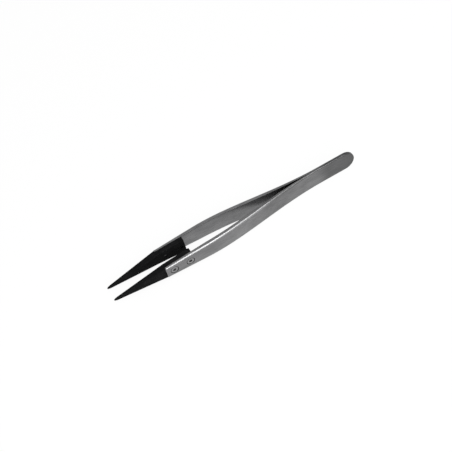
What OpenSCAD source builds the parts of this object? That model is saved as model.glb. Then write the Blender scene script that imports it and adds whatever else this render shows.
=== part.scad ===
// Straight tweezers with replaceable tips, lying on their lower edges.
// Two steel spring arms are welded face to face at the rear and bow apart. On the inner
// face of each arm's front end two countersunk screws hold a black fibre-filled tip.
// x runs from the rear end to the points, y across the opening, z across the arms' width.

/* [Length] */
// Length of each steel arm
arm_length = 103.5; // [96:0.5:112]
// How far a tip reaches beyond its arm's front end
tip_reach = 26.5; // [22:0.5:34]
// Length over which the two arms lie welded against each other
weld_length = 18; // [12:0.5:24]
// Length of an arm's straight front stretch, beyond the widest part of the bow
straight_length = 22.5; // [18:0.5:26]
// Distance from the weld's end over which an arm swells to its full thickness
swell_length = 42; // [30:1:55]
// Length of an arm's front taper
taper_length = 35.5; // [26:0.5:45]

/* [Arms] */
// Width of an arm at its rear, where its end is a half round
rear_width = 10.4; // [9:0.1:12]
// Width of an arm where its front taper begins
grip_width = 9.7; // [8.6:0.1:10.4]
// Width of an arm at its front end
front_width = 6.8; // [6.4:0.1:8]
// Thickness of an arm where it is welded
rear_thickness = 0.85; // [0.75:0.05:1.2]
// Thickness of an arm at the widest part of the bow
grip_thickness = 2; // [1.6:0.05:2.2]
// Thickness of an arm at its front end
front_thickness = 1.15; // [1.1:0.05:1.4]
// Distance over the outer faces at the widest part of the bow
bow_spread = 13.4; // [12.8:0.1:16]
// Distance over the outer faces at the arms' front ends
front_spread = 12.8; // [12.6:0.1:14]
// Radius of the edges beside the outer face, where the arm is thick enough for it
outer_edge = 0.75; // [0.3:0.05:0.8]
// Radius of the edges beside the inner face
inner_edge = 0.1; // [0.05:0.05:0.2]
// Radius of the two corners at an arm's front end
front_corner = 0.4; // [0.3:0.1:1.2]
// Radius of the edge across the front end, beside the outer face
front_edge = 0.15; // [0.1:0.05:0.3]

/* [Tips] */
// Length of the tail that is screwed to the arm's inner face
tail_length = 14.1; // [13.2:0.1:15]
// Radius of the tail's corners
tail_corner = 0.5; // [0.4:0.1:2]
// Gap between the two tails at their rear ends
tail_gap = 5; // [4.4:0.1:6]
// Gap between the two points
point_gap = 6.9; // [4:0.1:8]
// Width of a tip just behind its rounded point
point_width = 1.5; // [0.8:0.1:2]
// Thickness of a tip at its point
point_thickness = 0.6; // [0.3:0.05:0.8]
// How far the points lie below the arms' centre line
point_drop = 1.6; // [0:0.1:2]
// Length of the rounded end of a point
point_round = 2.5; // [1.5:0.1:4]
// Radius of the tips' edges
tip_edge = 0.3; // [0.15:0.05:0.4]
// Play between the arm's front end and the tip's shoulder
shoulder_play = 0.05; // [0.02:0.01:0.2]
// How far a tip's outer face lies below its arm's at the shoulder
shoulder_step = 0.25; // [0:0.05:0.4]

/* [Screws] */
// Nominal diameter of the thread
thread_d = 2; // [1.8:0.1:2.2]
// Diameter of the countersunk head
head_d = 3.8; // [3.5:0.1:3.9]
// Depth of the head's top below the arm's outer face
head_sink = 0.13; // [0.02:0.01:0.15]
// Play round the head in its seat
head_play = 0.06; // [0.02:0.01:0.1]
// Play round the thread in the arm's hole
hole_play = 0.1; // [0.05:0.01:0.15]
// Play round the thread in the tip's tapped hole
tapped_play = 0.03; // [0.01:0.01:0.1]
// Width across the flats of the hexagon socket
socket_flats = 1.5; // [1.2:0.05:1.6]
// Depth of the hexagon socket
socket_depth = 0.7; // [0.5:0.05:0.9]
// Distance from the arm's front end to the first screw
first_screw = 3.9; // [3.5:0.1:4.5]
// Distance between the two screws of a tip
screw_pitch = 8.3; // [6:0.1:8.3]
// How far the screws lie below the arms' centre line
screw_drop = 0.3; // [0:0.05:0.4]
// Depth of the first screw's end below the tail's inner face
end_sink = 0.35; // [0.1:0.05:0.8]

/* [Hidden] */

steel = [0.66, 0.67, 0.68];
screw_steel = [0.6, 0.61, 0.62];
fibre_black = [0.09, 0.09, 0.1];

$fn = 48;
hexagon = 6;
// Steps of an outline's quarter arc, of a corner and of an edge's quarter round
arc_steps = 9;
edge_steps = 4;
// Stations along the arm's bow and along a straight stretch
bow_stations = 30;
straight_stations = 10;
// The front taper's width falls with this power of the distance
taper_power = 1.7;
// A point ends in a flat of this share of its width
point_flat = 0.12;
// An arm's and a tip's edge radius are at most these shares of the thickness there
arm_edge_share = 0.5;
tip_edge_share = 0.3;
// How much a cut runs past the faces that it opens
cut_over = 1;

overall_length = arm_length + tip_reach;
bow_at = arm_length - straight_length;
taper_at = arm_length - taper_length;
tail_at = arm_length - tail_length;
half_rear = rear_width / 2;
half_bow = bow_spread / 2;
half_front = front_spread / 2;
screw_xs = [for (i = [0:1]) arm_length - first_screw - i * screw_pitch];
// A 90 degree head is as high as it widens beyond the thread on each side
head_h = (head_d - thread_d) / 2;
// All four screws are as long as the tail's thinner end allows
screw_h = arm_outer(screw_xs[0]) - head_sink - tip_inner(screw_xs[0]) - end_sink;

// Rises from 0 to 1 with a level start and end
function ease(u) = let (v = max(0, min(1, u))) v * v * (3 - 2 * v);
function blend(a, b, u) = a + (b - a) * u;

// Outer face of the left arm: level along the weld, then an S-shaped bow, then straight
function arm_outer(x) = x < bow_at
    ? blend(rear_thickness, half_bow, ease((x - weld_length) / (bow_at - weld_length)))
    : blend(half_bow, half_front, (x - bow_at) / straight_length);

function arm_thickness(x) = x < bow_at
    ? blend(rear_thickness, grip_thickness, ease((x - weld_length) / swell_length))
    : blend(grip_thickness, front_thickness, (x - bow_at) / straight_length);

function arm_inner(x) = max(0, arm_outer(x) - arm_thickness(x));

// Radius beside the outer face: the full one, which shrinks round the front corner to the front edge's
function arm_edge_at(x) = let (
    full = min(outer_edge, arm_thickness(x) * arm_edge_share),
    round_corner = (x - arm_length) / front_corner + 1
) round_corner < 0 ? full : blend(min(full, front_corner), front_edge, round_corner);

// Half of an arm's width: even along the weld, then a slight and a strong taper
function arm_half_width(x) = x < taper_at
    ? blend(rear_width, grip_width, max(0, x - weld_length) / (taper_at - weld_length)) / 2
    : blend(grip_width, front_width, pow((x - taper_at) / taper_length, taper_power)) / 2;

// Faces of the left tip: the inner one is a single plane from the tail to the point
function tip_inner(x) = blend(tail_gap, point_gap, (x - tail_at) / (overall_length - tail_at)) / 2;
function beyond_arm(x) = max(0, x - arm_length) / tip_reach;
function tip_outer(x) = blend(half_front - shoulder_step, point_gap / 2 + point_thickness, beyond_arm(x));
function tip_half_width(x) = x < arm_length
    ? arm_half_width(x)
    : blend(front_width, point_width, beyond_arm(x)) / 2;
function tip_middle(x) = -point_drop * beyond_arm(x);
function tip_edge_at(x) = min(tip_edge, (tip_outer(x) - tip_inner(x)) * tip_edge_share);

// Side view of an arm as pairs of x and half height: a half round, the bow and the front
function arm_stations() = let (
    step = 90 / (arc_steps + 0.5),
    front = arm_length - front_corner
) concat(
    [for (i = [0:arc_steps]) let (a = (i + 0.5) * step)
        [half_rear * (1 - cos(a) / cos(step / 2)), half_rear * sin(a)]],
    [for (i = [1:bow_stations]) let (x = blend(half_rear, bow_at, i / bow_stations)) [x, arm_half_width(x)]],
    [for (i = [1:straight_stations - 1]) let (x = blend(bow_at, front, i / straight_stations))
        [x, arm_half_width(x)]],
    [for (i = [0:edge_steps]) let (a = 90 * i / edge_steps)
        [front + front_corner * sin(a), arm_half_width(front) - front_corner * (1 - cos(a))]]
);

// Side view of a tip: the tail's squared end, the tail, the taper and the rounded point
function tip_stations() = let (
    back = tail_at + tail_corner,
    round_at = overall_length - point_round
) concat(
    [for (i = [0:edge_steps]) let (a = 90 * i / edge_steps)
        [back - tail_corner * cos(a), tip_half_width(back) - tail_corner * (1 - sin(a))]],
    [for (i = [1:straight_stations]) let (x = blend(back, arm_length, i / straight_stations))
        [x, tip_half_width(x)]],
    [for (i = [1:straight_stations - 1]) let (x = blend(arm_length, round_at, i / straight_stations))
        [x, tip_half_width(x)]],
    [for (i = [0:arc_steps]) let (a = 90 * i / arc_steps, x = round_at + point_round * sin(a))
        [x, tip_half_width(x) * max(cos(a), point_flat)]]
);

// Closed side outline: along the lower edge to the front and back along the upper edge
function outline(stations, middle) = let (n = len(stations)) concat(
    [for (s = stations) [s.x, middle(s.x) - s.y]],
    [for (i = [n - 1:-1:0]) [stations[i].x, middle(stations[i].x) + stations[i].y]]
);

// Direction out of the outline at point i, square to the line between its neighbours
function outward(points, i) = let (
    n = len(points),
    along = points[(i + 1) % n] - points[(i + n - 1) % n]
) [along.y, -along.x] / norm(along);

// A slab between two faces y = outer(x) and y = inner(x), with quarter-round edges.
// Each ring is the outline moved inwards. The caps join each lower point to the upper one.
module slab(stations, middle, outer, inner, outer_r, inner_r) {
    points = outline(stations, middle);
    n = len(points);
    outer_rings = [for (k = [0:edge_steps]) let (a = 90 * k / edge_steps)
        for (i = [0:n - 1]) let (
            r = outer_r(points[i].x),
            p = points[i] - outward(points, i) * r * (1 - sin(a))
        ) [p.x, outer(p.x) - r * (1 - cos(a)), p.y]];
    inner_rings = [for (k = [0:edge_steps / 2]) let (a = 90 - 180 * k / edge_steps)
        for (i = [0:n - 1]) let (
            r = inner_r(points[i].x),
            p = points[i] - outward(points, i) * r * (1 - sin(a))
        ) [p.x, inner(p.x) + r * (1 - cos(a)), p.y]];
    rings = len(concat(outer_rings, inner_rings)) / n;
    last = (rings - 1) * n;
    bands = [for (k = [0:rings - 2]) for (i = [0:n - 1]) let (
        a = k * n + i,
        b = k * n + (i + 1) % n
    ) each [[a, b + n, b], [a, a + n, b + n]]];
    outer_cap = [for (i = [0:len(stations) - 2]) let (c = n - 2 - i, d = n - 1 - i)
        each [[i, i + 1, c], [i, c, d]]];
    inner_cap = [for (f = outer_cap) [last + f[0], last + f[2], last + f[1]]];
    translate([0, 0, half_rear])
        polyhedron(concat(outer_rings, inner_rings), concat(bands, outer_cap, inner_cap), convexity = 6);
}

// The model's origin lies under its middle
module placed() {
    translate([-overall_length / 2, 0, 0]) children();
}

// Puts its children at both screws of the left arm, with their z pointing out of the arm
module at_screws() {
    for (x = screw_xs)
        translate([x, arm_outer(x) - head_sink, half_rear - screw_drop]) rotate([-90, 0, 0]) children();
}

// Through hole and countersunk seat in an arm. The 90 degree cone runs on past the outer face.
module screw_seat() {
    seat_d = head_d + 2 * head_play;
    translate([0, 0, -head_h])
        cylinder(d1 = seat_d - 2 * head_h, d2 = seat_d + 2 * cut_over, h = head_h + cut_over);
    translate([0, 0, -half_front]) cylinder(d = thread_d + 2 * hole_play, h = half_front);
}

// Countersunk screw with a hexagon socket, one corner of which points up
module screw() {
    difference() {
        union() {
            translate([0, 0, -head_h]) cylinder(d1 = thread_d, d2 = head_d, h = head_h);
            translate([0, 0, -screw_h]) cylinder(d = thread_d, h = screw_h - head_h / 2);
        }
        translate([0, 0, -socket_depth]) rotate(90)
            cylinder(d = socket_flats / cos(180 / hexagon), h = socket_depth + cut_over, $fn = hexagon);
    }
}

module left_arm() {
    color(steel) placed() difference() {
        slab(arm_stations(), function(x) 0, function(x) arm_outer(x), function(x) arm_inner(x),
            function(x) arm_edge_at(x), function(x) inner_edge);
        at_screws() screw_seat();
    }
}

module left_tip() {
    pad_at = tail_at - cut_over;
    shoulder_at = arm_length + shoulder_play;
    color(fibre_black) placed() difference() {
        slab(tip_stations(), function(x) tip_middle(x), function(x) tip_outer(x), function(x) tip_inner(x),
            function(x) tip_edge_at(x), function(x) tip_edge_at(x));
        // Room for the arm's front end, so that the tail lies flat on the arm's inner face
        linear_extrude(rear_width) polygon([
            [pad_at, arm_inner(pad_at)],
            [shoulder_at, arm_inner(shoulder_at)],
            [shoulder_at, half_front + cut_over],
            [pad_at, half_front + cut_over]
        ]);
        at_screws() translate([0, 0, -half_front]) cylinder(d = thread_d + 2 * tapped_play, h = half_front);
    }
}

module right_arm() {
    mirror([0, 1, 0]) left_arm();
}

module right_tip() {
    mirror([0, 1, 0]) left_tip();
}

module tip_screws() {
    color(screw_steel) for (side = [0, 1])
        mirror([0, side, 0]) placed() at_screws() screw();
}

left_arm();
right_arm();
left_tip();
right_tip();
tip_screws();
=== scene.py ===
# %% [markdown]
# # Straight tweezers with screwed-on tips
#
# The tweezers are two springy steel arms, welded back to back at the rear, and two black
# tapered tips that are screwed to the arms' inner faces. This lesson dresses a finished
# construction: every piece already has its real size and place in a fixed frame, and here
# it gets its smooth faces, rounded edges, screw threads and finish.
#
# The frame is loaded first. It is in metres, with +x towards the points, +y across the
# opening and +z up. Its box is kept, and gives the overall length, the rear's width and the bow's spread.

# %% Load the frame
import math

import bpy
import numpy as np
from mathutils import Matrix, Vector


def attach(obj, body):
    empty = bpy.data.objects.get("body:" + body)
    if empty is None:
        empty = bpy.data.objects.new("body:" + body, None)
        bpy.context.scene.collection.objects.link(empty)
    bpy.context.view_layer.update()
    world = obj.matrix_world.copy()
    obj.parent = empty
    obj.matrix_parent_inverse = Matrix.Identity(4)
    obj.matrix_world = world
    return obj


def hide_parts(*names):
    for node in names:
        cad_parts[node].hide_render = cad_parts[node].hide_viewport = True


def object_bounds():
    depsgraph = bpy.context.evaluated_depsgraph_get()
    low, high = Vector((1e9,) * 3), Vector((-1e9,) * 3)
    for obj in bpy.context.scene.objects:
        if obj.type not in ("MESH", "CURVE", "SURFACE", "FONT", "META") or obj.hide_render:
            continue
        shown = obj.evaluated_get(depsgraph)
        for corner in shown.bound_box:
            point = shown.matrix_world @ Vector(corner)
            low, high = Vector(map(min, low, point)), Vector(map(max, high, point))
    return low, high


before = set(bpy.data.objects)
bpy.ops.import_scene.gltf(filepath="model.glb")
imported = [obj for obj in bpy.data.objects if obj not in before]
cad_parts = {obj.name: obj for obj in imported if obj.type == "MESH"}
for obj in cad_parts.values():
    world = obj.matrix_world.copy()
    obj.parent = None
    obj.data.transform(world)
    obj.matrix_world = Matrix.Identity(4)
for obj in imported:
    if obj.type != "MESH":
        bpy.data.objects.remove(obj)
cad_low, cad_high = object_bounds()
MM = 0.001
print("nodes:", sorted(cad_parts))
print("box in mm:", [round((b - a) / MM, 2) for a, b in zip(cad_low, cad_high)])

# %% [markdown]
# ## The camera
#
# The camera comes first, because it decides which faces matter most. The tweezers lie on
# their lower edges and are seen from half above, across the left arm, with a long lens
# from half a metre away. A camera can be set by hand until the outline fits. Here its
# place is worked out from an aim point, two angles, a roll and a distance, because those
# are the values that a photographer would name.

# %% Place the camera
CAMERA_AIM = Vector((3.78, -0.68, 5.2)) * MM
CAMERA_TURN = 75.72
CAMERA_HEIGHT = 53.73
CAMERA_ROLL = -17.72
CAMERA_DISTANCE = 522.5 * MM
LENS_LENGTH = 90.37


def direction(turn, height):
    """Unit vector that points turn degrees from +x towards +y and height degrees above the floor."""
    t, h = math.radians(turn), math.radians(height)
    return Vector((math.cos(t) * math.cos(h), math.sin(t) * math.cos(h), math.sin(h)))


def facing(back, roll):
    """Rotation of a camera or lamp whose back points along back, rolled about that line in degrees."""
    right = Vector((0, 0, 1)).cross(back).normalized()
    up = back.cross(right)
    r = math.radians(roll)
    x_axis = right * math.cos(r) + up * math.sin(r)
    return Matrix((x_axis, back.cross(x_axis), back)).transposed()


bpy.context.scene.view_settings.view_transform = "Standard"
camera = bpy.data.objects.new("camera", bpy.data.cameras.new("camera"))
bpy.context.scene.collection.objects.link(camera)
bpy.context.scene.camera = camera
camera.data.lens = LENS_LENGTH
camera_back = direction(CAMERA_TURN, CAMERA_HEIGHT)
camera.matrix_world = (
    Matrix.Translation(CAMERA_AIM + camera_back * CAMERA_DISTANCE)
    @ facing(camera_back, CAMERA_ROLL).to_4x4()
)
print("camera at mm:", [round(v / MM, 1) for v in camera.location])

# %% [markdown]
# ## The sizes
#
# A maker's drawing gives a few driving sizes, and the rest follows. They are in
# millimetres, with x measured from the rear end, y from the plane between the arms and z
# from the arms' centre line. The length, the rear's width and the bow's spread come from
# the frame.

# %% Driving sizes
OVERALL_LENGTH = (cad_high.x - cad_low.x) / MM
REAR_WIDTH = (cad_high.z - cad_low.z) / MM
BOW_SPREAD = (cad_high.y - cad_low.y) / MM
ARM_LENGTH = 103.5
WELD_LENGTH = 18
STRAIGHT_LENGTH = 22.5
SWELL_LENGTH = 42
TAPER_LENGTH = 35.5
GRIP_WIDTH = 9.7
FRONT_WIDTH = 6.8
REAR_THICKNESS = 0.85
GRIP_THICKNESS = 2
FRONT_THICKNESS = 1.15
FRONT_SPREAD = 12.8
OUTER_EDGE = 0.75
INNER_EDGE = 0.1
ARM_EDGE_SHARE = 0.5
FRONT_CORNER = 0.4
FRONT_EDGE = 0.15
TAPER_POWER = 1.7

TAIL_LENGTH = 14.1
TAIL_CORNER = 0.5
TAIL_GAP = 5
POINT_GAP = 6.9
POINT_WIDTH = 1.5
POINT_THICKNESS = 0.6
POINT_DROP = 1.6
POINT_ROUND = 2.5
POINT_FLAT = 0.12
TIP_EDGE = 0.3
TIP_EDGE_SHARE = 0.3
SHOULDER_PLAY = 0.05
SHOULDER_STEP = 0.25

BOW_AT = ARM_LENGTH - STRAIGHT_LENGTH
TAPER_AT = ARM_LENGTH - TAPER_LENGTH
TAIL_AT = ARM_LENGTH - TAIL_LENGTH
TIP_REACH = OVERALL_LENGTH - ARM_LENGTH
HALF_REAR = REAR_WIDTH / 2
HALF_BOW = BOW_SPREAD / 2
HALF_FRONT = FRONT_SPREAD / 2
print("length", round(OVERALL_LENGTH, 2), "mm, spread", round(BOW_SPREAD, 2), "mm")
print("rear width", round(REAR_WIDTH, 2), "mm")

# %% [markdown]
# ## The arms' form as functions
#
# An arm is a strip of spring steel with three laws: how far its outer face stands from the
# middle plane, how thick it is and how wide it is. Each could be drawn as a hand-placed
# curve. A formula is chosen, because it gives any number of points and stays smooth: the
# strip lies level along the weld, bows out in one S-curve and runs straight to its front.

# %% The laws of an arm
def ease(u):
    """Rises from 0 to 1 with a level start and end: three times u squared less two times u cubed."""
    v = np.clip(u, 0, 1)
    return v * v * (3 - 2 * v)


def mix(a, b, u):
    """The value that lies the share u of the way from a to b."""
    return a + (b - a) * u


def arm_outer(x):
    """Distance of the outer face from the middle plane: the S-shaped bow, then a straight line."""
    bow = mix(REAR_THICKNESS, HALF_BOW, ease((x - WELD_LENGTH) / (BOW_AT - WELD_LENGTH)))
    front = mix(HALF_BOW, HALF_FRONT, (x - BOW_AT) / STRAIGHT_LENGTH)
    return np.where(x < BOW_AT, bow, front)


def arm_thickness(x):
    """Swells after the weld and thins again along the straight front."""
    swell = mix(REAR_THICKNESS, GRIP_THICKNESS, ease((x - WELD_LENGTH) / SWELL_LENGTH))
    front = mix(GRIP_THICKNESS, FRONT_THICKNESS, (x - BOW_AT) / STRAIGHT_LENGTH)
    return np.where(x < BOW_AT, swell, front)


def arm_inner(x):
    """Distance of the inner face from the middle plane, which it meets along the weld."""
    return np.maximum(0, arm_outer(x) - arm_thickness(x))


def arm_half_width(x):
    """Half the width: even along the weld, then a slight taper, then one that grows as a power."""
    slight = mix(REAR_WIDTH, GRIP_WIDTH, np.maximum(0, x - WELD_LENGTH) / (TAPER_AT - WELD_LENGTH))
    along = np.clip((x - TAPER_AT) / TAPER_LENGTH, 0, None)
    strong = mix(GRIP_WIDTH, FRONT_WIDTH, along**TAPER_POWER)
    return np.where(x < TAPER_AT, slight, strong) / 2


def arm_outer_edge(x):
    """Radius beside the outer face, limited by the wall, which shrinks round the front corner."""
    full = np.minimum(OUTER_EDGE, arm_thickness(x) * ARM_EDGE_SHARE)
    round_corner = (x - ARM_LENGTH) / FRONT_CORNER + 1
    corner = mix(np.minimum(full, FRONT_CORNER), FRONT_EDGE, round_corner)
    return np.where(round_corner < 0, full, corner)


def arm_inner_edge(x):
    """Radius of the edges beside the inner face, the same everywhere."""
    return np.full_like(x, INNER_EDGE)


sample = np.array([0, WELD_LENGTH, BOW_AT, ARM_LENGTH], float)
print("outer face at", sample, "mm:", arm_outer(sample).round(2))
print("thickness there:", arm_thickness(sample).round(2))

# %% [markdown]
# ## A slab with rounded edges
#
# Arms and tips are both slabs: two broad faces and a narrow edge that runs all the way
# round, with its corners rounded. A bevel on a cut-out shape could do it, but where the
# outline turns sharply a bevel tangles. So the edge is a surface of two parameters: one
# runs round the outline, the other crosses the edge from the outer face to the inner one,
# and moves the outline inwards as it climbs on to a face. Two grids close the faces.
# A narrow strip beside each rounding keeps the shading of the flat faces clean.

# %% Helpers for meshes
# The third kind, the shaded one, takes a near-black finish on steel: a painted shade in seats, inner
# roundings and screw threads.
FACE, EDGE, SHADED, INNER = range(4)


def to_frame(points, side):
    """Turns millimetres from the rear end into metres in the frame; side -1 is the right arm's mirror."""
    rear_end = np.array([-OVERALL_LENGTH / 2, 0, HALF_REAR])
    return (points + rear_end) * np.array([1, side, 1]) * MM


def signed_volume(points, faces):
    """A sixth of the sum of each triangle's corner products, positive where faces point outwards."""
    corners = points[np.vstack([faces[:, [0, 1, 2]], faces[:, [0, 2, 3]]])]
    return np.einsum("ij,ij->i", corners[:, 0], np.cross(corners[:, 1], corners[:, 2])).sum() / 6


def make_piece(name, points, faces, kinds):
    """Puts points and four-cornered faces into a new object; a repeated corner makes a triangle."""
    volume = signed_volume(points, faces)
    if volume < 0:
        faces = faces[:, ::-1]
    polygons = [tuple(dict.fromkeys(face)) for face in faces.tolist()]
    mesh = bpy.data.meshes.new(name)
    mesh.from_pydata(points, [], polygons)
    mesh.polygons.foreach_set("material_index", kinds.astype(np.int32))
    mesh.update()
    piece = bpy.data.objects.new(name, mesh)
    bpy.context.scene.collection.objects.link(piece)
    print(f"{name}: {len(points)} points, {len(polygons)} faces, {abs(volume) / MM**3:.1f} mm3")
    return piece


def grid_faces(ids):
    """Four-cornered faces between neighbouring rows and columns of a grid of point numbers."""
    return np.stack([ids[:-1, :-1], ids[1:, :-1], ids[1:, 1:], ids[:-1, 1:]], -1).reshape(-1, 4)


# %% The slab
EDGE_STEPS = 8
ACROSS = 10
STRIP = 0.05
WALL_STRIP_SHARE = 0.1


def edge_section(outer_r, inner_r, thickness):
    """Section across the edge, from the outer face to the inner one, as inset and depth.

    Each rounding is a quarter circle: the inset is r times one less the sine of the angle,
    and the depth r times one less its cosine. A flat strip lies before, between and after them.
    """
    angle = np.linspace(0, np.pi / 2, EDGE_STEPS + 1)[:, None]
    wall_strip = WALL_STRIP_SHARE * (thickness - outer_r - inner_r)
    inset = np.vstack([
        outer_r + STRIP,
        outer_r * (1 - np.sin(angle)),
        np.zeros_like(outer_r), np.zeros_like(outer_r),
        inner_r * (1 - np.sin(angle[::-1])),
        inner_r + STRIP,
    ])
    depth = np.vstack([
        np.zeros_like(outer_r),
        outer_r * (1 - np.cos(angle)),
        outer_r + wall_strip,
        thickness - inner_r - wall_strip,
        thickness - inner_r * (1 - np.cos(angle[::-1])),
        thickness,
    ])
    return inset, depth


def slab(name, x, half, middle, outer, inner, outer_edge, inner_edge, side):
    """A closed slab from stations x with half widths, between the faces y = outer(x) and inner(x).

    The outline runs forward along the lower edge, up the front, back along the upper edge
    and down the rear. A point of the edge is its outline point, moved inwards by the
    section's inset, at the section's depth below the outer face. The bands across the edge
    are of four kinds: the outer rounding, the flat wall, the inner rounding and the strip
    that belongs to the inner face.
    """
    lower = np.stack([x, middle(x) - half], 1)
    upper = np.stack([x, middle(x) + half], 1)
    share = (np.arange(1, ACROSS) / ACROSS)[:, None]
    front, rear = mix(lower[-1], upper[-1], share), mix(upper[0], lower[0], share)
    rim = np.vstack([lower, front, upper[::-1], rear])
    along = np.roll(rim, -1, 0) - np.roll(rim, 1, 0)
    inwards = np.stack([-along[:, 1], along[:, 0]], 1) / np.linalg.norm(along, axis=1)[:, None]

    wall = outer(rim[:, 0]) - inner(rim[:, 0])
    inset, depth = edge_section(outer_edge(rim[:, 0]), inner_edge(rim[:, 0]), wall)
    flat = rim + inset[:, :, None] * inwards
    outer_y, inner_y = outer(flat[..., 0]), inner(flat[..., 0])
    y = outer_y - depth * (outer_y - inner_y) / wall
    edge = np.stack([flat[..., 0], y, flat[..., 1]], -1)

    rings, n = inset.shape
    count = len(x)
    numbers = np.arange(rings * n).reshape(rings, n)
    points, faces = [edge.reshape(-1, 3)], [grid_faces(np.hstack([numbers, numbers[:, :1]]))]
    start = rings * n
    for ring, face_y in ((0, outer), (rings - 1, inner)):
        ids = np.zeros((count, ACROSS + 1), int)
        ids[:, 0] = numbers[ring, :count]
        ids[:, -1] = numbers[ring, count + ACROSS - 1 : 2 * count + ACROSS - 1][::-1]
        ids[-1, 1:-1] = numbers[ring, count : count + ACROSS - 1]
        ids[0, 1:-1] = numbers[ring, 2 * count + ACROSS - 1 :][::-1]
        ids[1:-1, 1:-1] = start + np.arange((count - 2) * (ACROSS - 1)).reshape(count - 2, -1)
        low, high = points[0][ids[1:-1, 0]], points[0][ids[1:-1, -1]]
        inside = mix(low[:, None], high[:, None], share[None])
        inside[..., 1] = face_y(inside[..., 0])
        points.append(inside.reshape(-1, 3))
        start += len(points[-1])
        cap = grid_faces(ids)
        faces.append(cap if ring == 0 else cap[:, ::-1])
    bands = np.full(rings - 1, FACE)
    bands[: EDGE_STEPS + 1] = EDGE
    # The inner rounding is of the shaded kind: a painted shade along the inner edges.
    bands[-EDGE_STEPS - 1 : -1] = SHADED
    bands[-1] = INNER
    kinds = np.concatenate([np.repeat(bands, n), np.full(len(cap), FACE), np.full(len(cap), INNER)])
    return make_piece(name, to_frame(np.vstack(points), side), np.vstack(faces), kinds)


print("rings across an edge:", len(edge_section(OUTER_EDGE, INNER_EDGE, GRIP_THICKNESS)[0]))

# %% [markdown]
# ## Blanks for the two arms
#
# The stations along an arm lie closely where its outline turns: round the half-round rear
# end and round the two front corners. The right arm is the left one mirrored.

# %% Make the arm blanks
REAR_ARC = 24
BOW_STATIONS = 150
STRAIGHT_STATIONS = 50
CORNER_STEPS = 8


def arm_stations():
    """Stations and half widths: a half circle at the rear, the bow, the straight, a front corner."""
    step = math.pi / 2 / (REAR_ARC + 0.5)
    arc = (np.arange(REAR_ARC + 1) + 0.5) * step
    front = ARM_LENGTH - FRONT_CORNER
    bow = np.linspace(HALF_REAR, BOW_AT, BOW_STATIONS + 1)[1:]
    straight = np.linspace(BOW_AT, front, STRAIGHT_STATIONS + 1)[1:-1]
    corner = np.linspace(0, math.pi / 2, CORNER_STEPS + 1)
    x = np.concatenate([
        HALF_REAR * (1 - np.cos(arc) / math.cos(step / 2)),
        bow,
        straight,
        front + FRONT_CORNER * np.sin(corner),
    ])
    half = np.concatenate([
        HALF_REAR * np.sin(arc),
        arm_half_width(bow),
        arm_half_width(straight),
        arm_half_width(np.array([front])) - FRONT_CORNER * (1 - np.cos(corner)),
    ])
    return x, half


SIDES = {"left": 1, "right": -1}
arms = {
    name: slab(f"{name}_arm_dressed", *arm_stations(), np.zeros_like, arm_outer, arm_inner,
               arm_outer_edge, arm_inner_edge, side)
    for name, side in SIDES.items()
}

# %% [markdown]
# ## Blanks for the two tips
#
# A tip is a moulded slab too. Its inner face is one plane from the tail to the point, its
# outer face continues the arm's, and it narrows to a small rounded point that lies a
# little below the middle. The edge radius shrinks with the slab, down to the point.

# %% Make the tip blanks
TAIL_STATIONS = 30
REACH_STATIONS = 70
POINT_STEPS = 14
POINT_EDGE_SHARE = 0.6


def beyond_arm(x):
    """Share of the tip's reach beyond the arm's front end, and 0 behind it."""
    return np.clip((x - ARM_LENGTH) / TIP_REACH, 0, None)


def tip_inner(x):
    """The inner face: one plane that opens slightly from the tail to the point."""
    return mix(TAIL_GAP, POINT_GAP, (x - TAIL_AT) / (OVERALL_LENGTH - TAIL_AT)) / 2


def tip_outer(x):
    """The outer face: a step below the arm's at the shoulder, then a plane towards the point."""
    return mix(HALF_FRONT - SHOULDER_STEP, POINT_GAP / 2 + POINT_THICKNESS, beyond_arm(x))


def tip_middle(x):
    """Height of the tip's middle, which drops evenly towards the point."""
    return -POINT_DROP * beyond_arm(x)


def tip_half_width(x):
    """Half the width: the arm's own beside it, then an even taper, then a quarter ellipse."""
    taper = mix(FRONT_WIDTH, POINT_WIDTH, beyond_arm(x)) / 2
    along = np.clip((x - OVERALL_LENGTH + POINT_ROUND) / POINT_ROUND, 0, 1)
    rounded = taper * np.maximum(np.sqrt(1 - along**2), POINT_FLAT)
    return np.where(x < ARM_LENGTH, arm_half_width(np.minimum(x, ARM_LENGTH)), rounded)


def tip_edge_radius(x):
    """Radius of the tip's edges, limited by its thickness and by its half width there."""
    by_wall = (tip_outer(x) - tip_inner(x)) * TIP_EDGE_SHARE
    by_width = tip_half_width(x) * POINT_EDGE_SHARE
    return np.minimum(TIP_EDGE, np.minimum(by_wall, by_width))


def tip_stations():
    """Stations and half widths: a round tail corner, the tail, the taper and the point's round end."""
    back = TAIL_AT + TAIL_CORNER
    round_at = OVERALL_LENGTH - POINT_ROUND
    corner = np.linspace(0, math.pi / 2, CORNER_STEPS + 1)
    tail = np.linspace(back, ARM_LENGTH, TAIL_STATIONS + 1)[1:]
    taper = np.linspace(ARM_LENGTH, round_at, REACH_STATIONS + 1)[1:-1]
    point = round_at + POINT_ROUND * np.sin(np.linspace(0, math.pi / 2, POINT_STEPS + 1))
    x = np.concatenate([back - TAIL_CORNER * np.cos(corner), tail, taper, point])
    half = tip_half_width(x)
    half[: len(corner)] = tip_half_width(np.array([back])) - TAIL_CORNER * (1 - np.sin(corner))
    return x, half


tips = {
    name: slab(f"{name}_tip_dressed", *tip_stations(), tip_middle, tip_outer, tip_inner,
               tip_edge_radius, tip_edge_radius, side)
    for name, side in SIDES.items()
}

# %% [markdown]
# ## Things that are turned: screws, seats and tapped holes
#
# A screw, its countersunk seat and its tapped hole share one axis. Each is a stack of
# rings whose radius may change round the ring. A plain ring is a circle, a socket's ring
# is a hexagon, and a thread's ring swells and shrinks once per turn of the helix, which
# shifts as the rings climb. So one function makes all three, and the thread is real.

# %% Rings round an axis
SEGMENTS = 72
HEXAGON = 6
round_angle = np.arange(SEGMENTS) * 2 * np.pi / SEGMENTS


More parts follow.
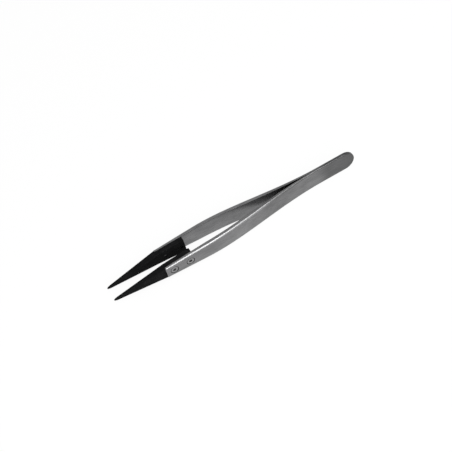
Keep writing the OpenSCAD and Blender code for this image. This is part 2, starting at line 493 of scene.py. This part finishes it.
def hexagon_factor(angle):
    """Reach of a hexagon of inner radius 1: one over the cosine of the angle to its nearest flat."""
    pitch = 2 * np.pi / HEXAGON
    return 1 / np.cos((angle + pitch / 2) % pitch - pitch / 2)


def stack(radius, height, low_pole, high_pole):
    """Points and faces of a closed stack of rings, with a point on the axis at each end.

    The faces are the bands between the rings, then the fan round the low point and the fan
    round the high one.
    """
    rings = radius.shape[0]
    points = np.stack([
        radius * np.cos(round_angle),
        radius * np.sin(round_angle),
        np.broadcast_to(height, radius.shape),
    ], -1).reshape(-1, 3)
    numbers = np.arange(rings * SEGMENTS).reshape(rings, SEGMENTS)
    numbers = np.hstack([numbers, numbers[:, :1]])
    low, high = len(points), len(points) + 1
    points = np.vstack([points, [[0, 0, low_pole], [0, 0, high_pole]]])
    first, last = numbers[:1], numbers[-1:]
    faces = np.vstack([
        grid_faces(numbers),
        grid_faces(np.vstack([np.full_like(first, low), first])),
        grid_faces(np.vstack([last, np.full_like(last, high)])),
    ])
    return points, faces


def on_axis(points, x, outwards, side):
    """Turns a stack so that its axis points out of an arm, at station x and outwards from the middle.

    Both sides use a turn and no mirror, so that every thread stays right-handed.
    """
    centre = np.array([x, side * outwards, -SCREW_DROP])
    turned = points[:, [0, 2, 1]] * np.array([1, side, -side])
    return to_frame(centre + turned, 1)


print("a hexagon's corner reaches", hexagon_factor(np.pi / HEXAGON).round(3), "times its flat")

# %% [markdown]
# ## Countersunk seats and the tips' steps
#
# Cutting is left to the Boolean modifier, as a drill and a mill would do it: the seats and
# through holes in the arms, and in each tip the step that makes room for the arm. The
# cutters run past the faces that they open. A seat's cone is a little wider than the
# head that sinks into it, which leaves the dark ring that is seen round each screw. The
# cut faces are of the shaded kind, which the steel shows near black: a painted shade that
# deepens that ring.

# %% Cutters
THREAD_D = 2
HEAD_D = 3.8
HEAD_SINK = 0.13
HEAD_PLAY = 0.06
HOLE_PLAY = 0.1
TAPPED_PLAY = 0.03
SCREWS_PER_ARM = 2
FIRST_SCREW = 3.9
SCREW_PITCH = 8.3
SCREW_DROP = 0.3
END_SINK = 0.35
CUT_OVER = 1

screw_xs = [ARM_LENGTH - FIRST_SCREW - i * SCREW_PITCH for i in range(SCREWS_PER_ARM)]
head_h = (HEAD_D - THREAD_D) / 2
head_at = {x: float(arm_outer(np.array(x))) - HEAD_SINK for x in screw_xs}
screw_h = head_at[screw_xs[0]] - float(tip_inner(np.array(screw_xs[0]))) - END_SINK


def cut(piece, name, points, faces):
    """Takes a closed cutter out of a piece with an exact Boolean, and keeps the result in the piece."""
    # The cutter's faces are of the shaded kind, which the steel shows near black as a painted shade.
    cutter = make_piece(name, points, faces, np.full(len(faces), SHADED))
    boolean = piece.modifiers.new("cut", "BOOLEAN")
    boolean.operation = "DIFFERENCE"
    boolean.solver = "EXACT"
    boolean.object = cutter
    evaluated = piece.evaluated_get(bpy.context.evaluated_depsgraph_get())
    result = bpy.data.meshes.new_from_object(evaluated)
    piece.modifiers.clear()
    piece.data = result
    bpy.data.objects.remove(cutter)


def plain_rings(profile):
    """Circular rings from a list of radius and height, as arrays for a stack."""
    radius, height = np.array(profile, float).T
    return np.repeat(radius[:, None], SEGMENTS, 1), height[:, None]


print("screws at mm:", [round(x, 2) for x in screw_xs], "length", round(screw_h, 2))

# %% Cut the seats
seat_r = HEAD_D / 2 + HEAD_PLAY
hole_r = THREAD_D / 2 + HOLE_PLAY
seat_profile = [
    (hole_r, -HALF_FRONT),
    (hole_r, hole_r - seat_r),
    (seat_r + CUT_OVER, CUT_OVER),
]
for name, side in SIDES.items():
    for x in screw_xs:
        points, faces = stack(*plain_rings(seat_profile), -HALF_FRONT, CUT_OVER)
        cut(arms[name], "seat_cutter", on_axis(points, x, head_at[x], side), faces)

# %% Cut the steps for the arms
def step_cutter():
    """A block that lies on the arm's inner face and ends at the tip's shoulder, as eight corners."""
    x = np.array([TAIL_AT - CUT_OVER, ARM_LENGTH + SHOULDER_PLAY])
    near, far = arm_inner(x), HALF_FRONT + CUT_OVER
    section = [(x[0], near[0]), (x[1], near[1]), (x[1], far), (x[0], far)]
    corners = [(px, py, z) for z in (-HALF_REAR, HALF_REAR) for px, py in section]
    n = len(section)
    sides = [(i, (i + 1) % n, (i + 1) % n + n, i + n) for i in range(n)]
    return np.array(corners), np.array(sides + [(3, 2, 1, 0), (4, 5, 6, 7)])


for name, side in SIDES.items():
    points, faces = step_cutter()
    cut(tips[name], "step_cutter", to_frame(points, side), faces)

# %% [markdown]
# ## Threads
#
# The screws are M2 with a pitch of 0.4 mm. The ridge of a thread is a blunt triangle: the
# radius falls evenly from its crest to its root and rises again, once per pitch. The
# tapped hole is cut by the same helix with a little play, so the two threads mesh.

# %% Thread rings, and the tapped holes
PITCH = 0.4
THREAD_DEPTH = 0.22
RINGS_PER_PITCH = 8
CREST = 0.25


def thread_radius(height, play, length):
    """Radius of the thread at each height and angle.

    The phase is the height in pitches less the angle in turns. The ridge is highest at
    phase 0, flat over the crest's share and falls evenly to the root at half a pitch.
    """
    phase = (height / PITCH - round_angle / (2 * np.pi)) % 1
    away = np.abs(phase - 0.5) * 2
    ridge = np.clip((away - CREST) / (1 - 2 * CREST), 0, 1)
    fade = np.clip((length - np.abs(height)) / PITCH, 0, 1)
    return THREAD_D / 2 + play - THREAD_DEPTH * (1 - ridge * fade)


def thread_heights(low, high):
    """Heights of the rings of a thread between two ends, as a column."""
    return np.linspace(low, high, int((high - low) / PITCH * RINGS_PER_PITCH) + 1)[:, None]


tapped_from = -HALF_FRONT
for name, side in SIDES.items():
    for x in screw_xs:
        height = thread_heights(tapped_from, 0)
        points, faces = stack(
            thread_radius(height, TAPPED_PLAY, 2 * HALF_FRONT), height, tapped_from, 0
        )
        cut(tips[name], "tap", on_axis(points, x, head_at[x], side), faces)

# %% [markdown]
# ## The screws
#
# Each screw is a stack of rings from its end to the bottom of its socket: a chamfered
# end, the thread, the cone of the head with a softened rim, the flat land, and a hexagon
# socket with a drilled bottom. All four are one object, like the node that they replace.

# %% Make the screws
SOCKET_FLATS = 1.5
SOCKET_DEPTH = 0.7
SOCKET_CHAMFER = 0.06
DRILL_DEPTH = 0.2
DRILL_STEP = 0.03
DRILL_SHARE = 0.85
END_CHAMFER = 0.25
RIM_ROUND = 0.08
RIM_STEPS = 6
CONE_START = 0.03
LAND_WIDTH = 0.2


def screw_rings():
    """Radius and height of every ring of a screw whose head's top lies at height 0.

    The rim is an arc that touches the cone of 90 degrees and the flat land, so its centre
    lies one and the square root of two times its radius inside the head's sharp corner.
    The last value counts the bands of faces below the land, which take the near-black
    finish: a painted shade in the seat and the tapped hole.
    """
    height = thread_heights(-screw_h + END_CHAMFER, -head_h)
    thread = thread_radius(height, 0, screw_h)
    root = THREAD_D / 2 - THREAD_DEPTH
    arc = np.linspace(-np.pi / 4, np.pi / 2, RIM_STEPS)
    rim_r = HEAD_D / 2 - RIM_ROUND * (1 + math.sqrt(2))
    rim = [(rim_r + RIM_ROUND * np.cos(a), RIM_ROUND * (np.sin(a) - 1)) for a in arc]
    end, end_z = plain_rings([(root - END_CHAMFER / 2, -screw_h)])
    head, head_z = plain_rings([(THREAD_D / 2 + CONE_START, CONE_START - head_h), *rim])
    land, land_z = plain_rings([(SOCKET_FLATS / 2 + LAND_WIDTH, 0)])
    socket, socket_z = plain_rings([
        (SOCKET_FLATS / 2 + SOCKET_CHAMFER, 0),
        (SOCKET_FLATS / 2, -SOCKET_CHAMFER),
        (SOCKET_FLATS / 2, -SOCKET_DEPTH),
    ])
    drill, drill_z = plain_rings([(SOCKET_FLATS / 2 * DRILL_SHARE, -SOCKET_DEPTH - DRILL_STEP)])
    radius = np.vstack([end, thread, head, land, socket * hexagon_factor(round_angle), drill])
    heights = np.vstack([end_z, height, head_z, land_z, socket_z, drill_z])
    shaded_bands = len(end) + len(thread) + len(head) - 1
    return radius, heights, shaded_bands


radius, heights, shaded_bands = screw_rings()
screw, screw_faces = stack(radius, heights, -screw_h, -SOCKET_DEPTH - DRILL_DEPTH)
screw_kinds = np.full(len(screw_faces), FACE)
# The bands below the land and the end's face are of the shaded kind: a painted shade in the seat and the
# tapped hole.
screw_kinds[: shaded_bands * SEGMENTS] = SHADED
screw_kinds[-2 * SEGMENTS : -SEGMENTS] = SHADED
copies = [on_axis(screw, x, head_at[x], side) for side in SIDES.values() for x in screw_xs]
copy_faces = [screw_faces + i * len(screw) for i in range(len(copies))]
screws = make_piece(
    "tip_screws_dressed", np.vstack(copies), np.vstack(copy_faces), np.tile(screw_kinds, len(copies))
)

# %% [markdown]
# ## Shading
#
# Smooth shading would smear light over the sharp corners of the cuts, so edges that turn
# by more than 35 degrees are marked sharp, and everything else is smooth.

# %% Smooth faces and sharp corners
SHARP_ANGLE = math.radians(35)

pieces = {
    "left_arm": arms["left"], "right_arm": arms["right"],
    "left_tip": tips["left"], "right_tip": tips["right"],
    "tip_screws": screws,
}
for node, piece in pieces.items():
    piece.data.shade_smooth()
    piece.data.set_sharp_from_angle(angle=SHARP_ANGLE)
    print(node, len(piece.data.polygons), "faces")

# %% [markdown]
# ## Finishes
#
# The arms are ground along their length and then tumbled, which leaves a satin face with
# a faint lengthwise grain and polishes the rounded edges a little brighter. Their colour
# also carries painted light: the outer faces' tone along the arm, darkest at the rear, is a
# painted reflection and shade; the edges' tone is a painted highlight that fades to the rear;
# the darker inner faces are a painted shade of the gap between the arms; and the seats, the
# inner roundings and the screws' threads, ends and head cones are near black, a painted
# shade in the recesses. An image could give this, but noise that is stretched along the arm
# needs no image and looks the same from any side. The object's own coordinates carry it,
# so it stays on the steel.

# %% Helpers for materials
SMOOTH, MIXED, FINE = 1.0, 2.0, 3.0


def new_material(name):
    """A material with a cleared node tree that has a shader, an output and object coordinates."""
    material = bpy.data.materials.new(name)
    material.use_nodes = True
    tree = material.node_tree
    tree.nodes.clear()
    shader = tree.nodes.new("ShaderNodeBsdfPrincipled")
    output = tree.nodes.new("ShaderNodeOutputMaterial")
    tree.links.new(shader.outputs["BSDF"], output.inputs["Surface"])
    place = tree.nodes.new("ShaderNodeTexCoord").outputs["Object"]
    return material, tree, shader, place


def scaled(tree, place, scale):
    """Coordinates stretched by a scale for each axis, in repeats per metre."""
    mapping = tree.nodes.new("ShaderNodeMapping")
    mapping.inputs["Scale"].default_value = scale
    tree.links.new(place, mapping.inputs["Vector"])
    return mapping.outputs["Vector"]


def noise(tree, place, scale, detail):
    """Noise around 0.5 over stretched coordinates, from smooth to fine by its detail."""
    texture = tree.nodes.new("ShaderNodeTexNoise")
    texture.inputs["Scale"].default_value = 1
    texture.inputs["Detail"].default_value = detail
    tree.links.new(scaled(tree, place, scale), texture.inputs["Vector"])
    return texture.outputs["Fac"]


def remap(tree, value, from_low, from_high, to_low, to_high):
    """A value range carried over to another, and held inside it."""
    node = tree.nodes.new("ShaderNodeMapRange")
    node.inputs["From Min"].default_value = from_low
    node.inputs["From Max"].default_value = from_high
    node.inputs["To Min"].default_value = to_low
    node.inputs["To Max"].default_value = to_high
    tree.links.new(value, node.inputs["Value"])
    return node.outputs["Result"]


def combine(tree, how, a, b):
    """Two values joined by one arithmetic operation."""
    node = tree.nodes.new("ShaderNodeMath")
    node.operation = how
    for socket, value in zip(node.inputs, (a, b)):
        if isinstance(value, (int, float)):
            socket.default_value = value
        else:
            tree.links.new(value, socket)
    return node.outputs["Value"]


def grey_ramp(tree, value, dark, light):
    """A neutral colour between two brightnesses."""
    node = tree.nodes.new("ShaderNodeMix")
    node.data_type = "RGBA"
    node.inputs["A"].default_value = (*dark, 1)
    node.inputs["B"].default_value = (*light, 1)
    tree.links.new(value, node.inputs["Factor"])
    return node.outputs["Result"]


def bump(tree, shader, height, depth):
    """Small relief of that depth in metres, from a height between 0 and 1."""
    node = tree.nodes.new("ShaderNodeBump")
    node.inputs["Distance"].default_value = depth
    tree.links.new(height, node.inputs["Height"])
    tree.links.new(node.outputs["Normal"], shader.inputs["Normal"])


# %% Steel finishes
PATCH_SCALE = (90, 260, 260)
PATCH_SHARE = 0.35
SCRATCH_STRETCH = (0.35, 2.2, 2.2)
SCRATCH_RANGE = (0.62, 0.72)
SCRATCH_DEPTH = 0.6
TONE_RANGE = (0.36, 0.64)
GRAIN_RANGE = (0.3, 0.7)
ALONG_GRAIN = (180, 3600, 3600)
TUMBLED_GRAIN = (500, 2600, 2600)
TURNED_GRAIN = (2500, 2500, 2500)
PLAIN = ((0, 1), (1, 1))
# Painted reflection and shade along the outer faces: darkest at the rear, with a dip in the bow.
FACE_PAINTED_SHADE = (
    (0, 0.48), (0.126, 0.57), (0.2, 0.87), (0.3, 0.93), (0.42, 0.77), (0.52, 0.92), (0.62, 1),
)
# Painted shade along the inner faces, darkest at the rear where the arms close in.
INNER_PAINTED_SHADE = ((0, 0.6), (0.3, 0.93), (0.5, 1), (0.7, 0.96), (1, 0.96))
# Painted highlight along the rounded outer edges: dim at the rear, brightest near the front.
EDGE_PAINTED_HIGHLIGHT = (
    (0, 0.38), (0.12, 0.39), (0.2, 0.48), (0.31, 0.5), (0.42, 0.62), (0.5, 1.05), (1, 0.95),
)


def painted_light_along(tree, place, painted_light_stops):
    """Painted light along an arm as brightness, listed as shares of its length with a tone each: a
    painted shade, reflection or highlight.
    """
    split = tree.nodes.new("ShaderNodeSeparateXYZ")
    tree.links.new(place, split.inputs["Vector"])
    rear, front = to_frame(np.array([[0, 0, 0], [ARM_LENGTH, 0, 0]]), 1)[:, 0]
    ramp = tree.nodes.new("ShaderNodeValToRGB")
    ramp.color_ramp.interpolation = "EASE"
    for share, _ in painted_light_stops[1:-1]:
        ramp.color_ramp.elements.new(share)
    for element, (share, tone) in zip(ramp.color_ramp.elements, painted_light_stops):
        element.position = share
        element.color = (tone, tone, tone, 1)
    share_along = remap(tree, split.outputs["X"], float(rear), float(front), 0, 1)
    tree.links.new(share_along, ramp.inputs["Fac"])
    return ramp.outputs["Color"]


def steel(name, dark, light, rough, grain_scale, relief, painted_light_stops):
    """Ground steel: slow patches and a stretched grain in the tone, and longer, finer scratches.

    The tone is a share of the patches and the rest of the grain, less the scratches, which
    show where a third noise comes near its highest values. It runs from dark to light and is
    multiplied by the painted light along the arm: a painted shade, reflection or highlight.
    The grain also sets the roughness and the relief.
    """
    material, tree, shader, place = new_material(name)
    shader.inputs["Metallic"].default_value = 1
    patches = noise(tree, place, PATCH_SCALE, SMOOTH)
    grain = noise(tree, place, grain_scale, FINE)
    scratch_scale = tuple(a * b for a, b in zip(grain_scale, SCRATCH_STRETCH))
    scratches = remap(tree, noise(tree, place, scratch_scale, SMOOTH), *SCRATCH_RANGE, 0, 1)
    slow = combine(tree, "MULTIPLY", patches, PATCH_SHARE)
    fast = combine(tree, "MULTIPLY", grain, 1 - PATCH_SHARE)
    tone = remap(tree, combine(tree, "ADD", slow, fast), *TONE_RANGE, 0, 1)
    tone = combine(tree, "SUBTRACT", tone, combine(tree, "MULTIPLY", scratches, SCRATCH_DEPTH))
    grey = grey_ramp(tree, tone, dark, light)
    # Painted light: the grey is multiplied by a painted shade, reflection or highlight along the arm.
    painted_light_mix = tree.nodes.new("ShaderNodeMix")
    painted_light_mix.data_type = "RGBA"
    painted_light_mix.blend_type = "MULTIPLY"
    painted_light_mix.inputs["Factor"].default_value = 1
    tree.links.new(grey, painted_light_mix.inputs["A"])
    tree.links.new(painted_light_along(tree, place, painted_light_stops), painted_light_mix.inputs["B"])
    tree.links.new(painted_light_mix.outputs["Result"], shader.inputs["Base Color"])
    tree.links.new(remap(tree, grain, *GRAIN_RANGE, *rough), shader.inputs["Roughness"])
    bump(tree, shader, grain, relief)
    return material


# Its tone along the arm is a painted reflection and shade.
ground_steel = steel(
    "ground_steel", dark=(0.175, 0.175, 0.178), light=(0.275, 0.275, 0.278),
    rough=(0.32, 0.44), grain_scale=ALONG_GRAIN, relief=5e-6, painted_light_stops=FACE_PAINTED_SHADE,
)
# Darker than the outer faces: a painted shade of the gap between the arms.
gap_shade_steel = steel(
    "gap_shade_steel", dark=(0.15, 0.15, 0.153), light=(0.236, 0.236, 0.239),
    rough=(0.22, 0.32), grain_scale=ALONG_GRAIN, relief=5e-6, painted_light_stops=INNER_PAINTED_SHADE,
)
# Its tone along the arm is a painted highlight that fades towards the rear.
tumbled_highlight_steel = steel(
    "tumbled_highlight_steel", dark=(0.25, 0.25, 0.253), light=(0.3, 0.3, 0.303),
    rough=(0.32, 0.4), grain_scale=TUMBLED_GRAIN, relief=0.8e-6, painted_light_stops=EDGE_PAINTED_HIGHLIGHT,
)
# Near black: a painted shade in the seats, along the arms' inner roundings and on the screws' threads,
# ends and head cones.
painted_shade_steel = steel(
    "painted_shade_steel", dark=(0.03, 0.03, 0.03), light=(0.075, 0.075, 0.075),
    rough=(0.4, 0.5), grain_scale=TURNED_GRAIN, relief=3e-6, painted_light_stops=PLAIN,
)
turned_steel = steel(
    "turned_steel", dark=(0.23, 0.23, 0.233), light=(0.3, 0.3, 0.303),
    rough=(0.24, 0.34), grain_scale=TURNED_GRAIN, relief=2e-6, painted_light_stops=PLAIN,
)
steels = (ground_steel, gap_shade_steel, tumbled_highlight_steel, painted_shade_steel, turned_steel)
print("finishes:", [material.name for material in steels])

# %% [markdown]
# The tips are a hard black plastic with short carbon fibres in it. The mould leaves a
# matt skin with a fine grain, and here and there a fibre lies in the skin. A fibre is a
# lighter, smoother fleck: its lighter colour is a painted glint, its lower roughness a real
# one. Fibres follow the flow in the mould, so their cells are stretched along the tip.

# %% Fibre-filled plastic
FIBRE_CELLS = (550, 3000, 3000)
FIBRE_REACH = 0.26
FIBRE_GLINT_SHARE = 0.8
FEWEST_FIBRES = 0.15
MOTTLE_SCALE = (250, 500, 500)
MOTTLE_RANGE = (0.45, 0.6)
SKIN_SCALE = (2600, 4200, 4200)
SKIN_SHARE = 0.5
SKIN_RELIEF = 6e-6
SKIN_ROUGH = (0.65, 0.45)
SKIN_GLOSS = 0.025
PLASTIC_DARK = (0.0012, 0.0012, 0.0013)
PLASTIC_LIGHT = (0.038, 0.038, 0.0395)


def fibre_plastic():
    """Matt black, softly mottled, with flecks near the centres of stretched cells, lighter as a painted
    glint.
    """
    material, tree, shader, place = new_material("fibre_plastic")
    cells = tree.nodes.new("ShaderNodeTexVoronoi")
    cells.inputs["Scale"].default_value = 1
    tree.links.new(scaled(tree, place, FIBRE_CELLS), cells.inputs["Vector"])
    near = remap(tree, cells.outputs["Distance"], 0, FIBRE_REACH, 1, 0)
    mottle = noise(tree, place, MOTTLE_SCALE, MIXED)
    seldom = remap(tree, mottle, *MOTTLE_RANGE, FEWEST_FIBRES, 1)
    # A fibre's fleck is lighter in colour, a painted glint, and smoother, a real one.
    fibre_glint = combine(tree, "MULTIPLY", near, seldom)
    skin = noise(tree, place, SKIN_SCALE, FINE)
    ground = combine(tree, "MULTIPLY", combine(tree, "MULTIPLY", skin, mottle), SKIN_SHARE)
    shade = combine(tree, "ADD", combine(tree, "MULTIPLY", fibre_glint, FIBRE_GLINT_SHARE), ground)
    colour = grey_ramp(tree, shade, PLASTIC_DARK, PLASTIC_LIGHT)
    tree.links.new(colour, shader.inputs["Base Color"])
    tree.links.new(remap(tree, shade, 0, 1, *SKIN_ROUGH), shader.inputs["Roughness"])
    shader.inputs["Specular IOR Level"].default_value = SKIN_GLOSS
    bump(tree, shader, skin, SKIN_RELIEF)
    return material


plastic = fibre_plastic()
print("finish:", plastic.name)

# %% [markdown]
# ## Hand the pieces to the frame
#
# Each dressed piece rides on the one body and stands for the node that it was built on,
# which is hidden. It takes the finishes of its node's slot, which come in the order of the
# kinds of face: faces, edges, the shaded kind, which steel shows near black as a painted
# shade, and inner faces.

# %% Assign finishes and put the pieces on the body
# The third finish of each steel slot is near black: a painted shade in the recesses.
FINISHES = {
    "arm_steel": (ground_steel, tumbled_highlight_steel, painted_shade_steel, gap_shade_steel),
    "tip_plastic": (plastic, plastic, plastic, plastic),
    "screw_steel": (turned_steel, turned_steel, painted_shade_steel),
}
SLOTS = {
    "left_arm": "arm_steel", "right_arm": "arm_steel",
    "left_tip": "tip_plastic", "right_tip": "tip_plastic",
    "tip_screws": "screw_steel",
}
for node, piece in pieces.items():
    kinds = np.zeros(len(piece.data.polygons), np.int32)
    piece.data.polygons.foreach_get("material_index", kinds)
    piece.data.materials.clear()
    for material in FINISHES[SLOTS[node]]:
        piece.data.materials.append(material)
    piece.data.polygons.foreach_set("material_index", kinds)
    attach(piece, "root")
    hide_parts(node)
    print(node, "faces of each kind:", np.bincount(kinds).tolist())

# %% [markdown]
# ## Floor, world and lamp
#
# A product photograph of polished steel needs a pale surround, because the steel shows
# what is around it. The floor shows white to the camera and to the steel, and lets a part
# of its lit surface through, so that the soft shadow under the tweezers stays. One long
# soft lamp stands above and beside the left arm and leans forward. It mirrors in the
# rounded edge of that arm as one bright line, which fades towards the rear, both by the
# lamp's place and by a painted highlight in the edges' colour.

# %% Floor
FLOOR_SIZE = 6.0
FLOOR_WHITE = 1.0
FLOOR_SHADE = 0.08
FLOOR_GREY = 0.85


def floor_material():
    """White to camera, glossy and transmitted rays, mixed with a lit white that keeps the shadow."""
    material = bpy.data.materials.new("white_floor")
    material.use_nodes = True
    tree = material.node_tree
    tree.nodes.clear()
    rays = tree.nodes.new("ShaderNodeLightPath")
    seen = combine(tree, "MAXIMUM", rays.outputs["Is Camera Ray"], rays.outputs["Is Glossy Ray"])
    seen = combine(tree, "MAXIMUM", seen, rays.outputs["Is Transmission Ray"])
    white = tree.nodes.new("ShaderNodeEmission")
    white.inputs["Color"].default_value = (1, 1, 1, 1)
    white.inputs["Strength"].default_value = FLOOR_WHITE
    lit = tree.nodes.new("ShaderNodeBsdfDiffuse")
    lit.inputs["Color"].default_value = (FLOOR_GREY, FLOOR_GREY, FLOOR_GREY, 1)
    blend = tree.nodes.new("ShaderNodeMixShader")
    tree.links.new(combine(tree, "MULTIPLY", seen, 1 - FLOOR_SHADE), blend.inputs["Fac"])
    tree.links.new(lit.outputs["BSDF"], blend.inputs[1])
    tree.links.new(white.outputs["Emission"], blend.inputs[2])
    output = tree.nodes.new("ShaderNodeOutputMaterial")
    tree.links.new(blend.outputs["Shader"], output.inputs["Surface"])
    return material


half_floor = FLOOR_SIZE / 2
floor_corners = [(x * half_floor, y * half_floor, 0) for x, y in ((-1, -1), (1, -1), (1, 1), (-1, 1))]
floor_mesh = bpy.data.meshes.new("floor")
floor_mesh.from_pydata(floor_corners, [], [(0, 1, 2, 3)])
floor_mesh.materials.append(floor_material())
floor = bpy.data.objects.new("floor", floor_mesh)
bpy.context.scene.collection.objects.link(floor)
print("floor:", FLOOR_SIZE, "m square")

# %% World and lamp
WORLD_STRENGTH = 0.62

world = bpy.data.worlds.new("studio")
bpy.context.scene.world = world
world.use_nodes = True
world.node_tree.nodes["Background"].inputs["Color"].default_value = (1, 1, 1, 1)
world.node_tree.nodes["Background"].inputs["Strength"].default_value = WORLD_STRENGTH


def soft_lamp(name, aim, turn, height, roll, distance, width, length, watts):
    """A rectangular lamp that faces its aim point; its length runs upwards and leans by the roll."""
    lamp = bpy.data.lights.new(name, "AREA")
    lamp.shape = "RECTANGLE"
    lamp.size, lamp.size_y = width, length
    lamp.energy = watts
    lamp_object = bpy.data.objects.new(name, lamp)
    bpy.context.scene.collection.objects.link(lamp_object)
    back = direction(turn, height)
    lamp_object.matrix_world = Matrix.Translation(aim + back * distance) @ facing(back, roll).to_4x4()
    print(f"{name}: {watts} W, {width} by {length} m")


soft_lamp(
    "key", aim=Vector((-0.015, 0, 0)), turn=90, height=50, roll=-12,
    distance=0.5, width=0.13, length=1.15, watts=3.9,
)
